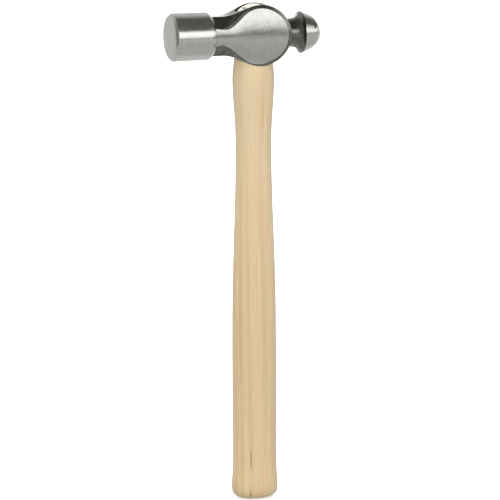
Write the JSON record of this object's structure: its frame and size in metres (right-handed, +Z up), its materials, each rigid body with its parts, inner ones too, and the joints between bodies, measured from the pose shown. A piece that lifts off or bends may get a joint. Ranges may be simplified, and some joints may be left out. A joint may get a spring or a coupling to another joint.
{
  "type": "ball peen hammer",
  "caption": "Ball peen hammer: forged steel head with a round striking face, round flat cheeks, a waisted neck and a ball end, wedged onto an oval wooden handle with a swelled butt.",
  "frame": {"origin": "middle of the handle's flat butt end", "axes": "+Z up along the handle towards the head, -X towards the striking face, +X towards the ball, -Y and +Y out of the flat cheeks"},
  "size_m": [0.1284, 0.0394, 0.4068],
  "materials": {
    "head_steel": "ground and polished on the face, striking end, cheeks and ball, dark as forged on the neck and rims",
    "handle_wood": "pale straight-grained wood, sanded smooth under a thin clear finish",
    "wedge_wood": "bare wood end grain",
    "wedge_steel": "plain cut steel"
  },
  "bodies": {
    "root": {"hammer_head": "head_steel", "handle": "handle_wood", "wood_wedge": "wedge_wood", "steel_wedge_1": "wedge_steel", "steel_wedge_2": "wedge_steel"}
  },
  "joints": []
}
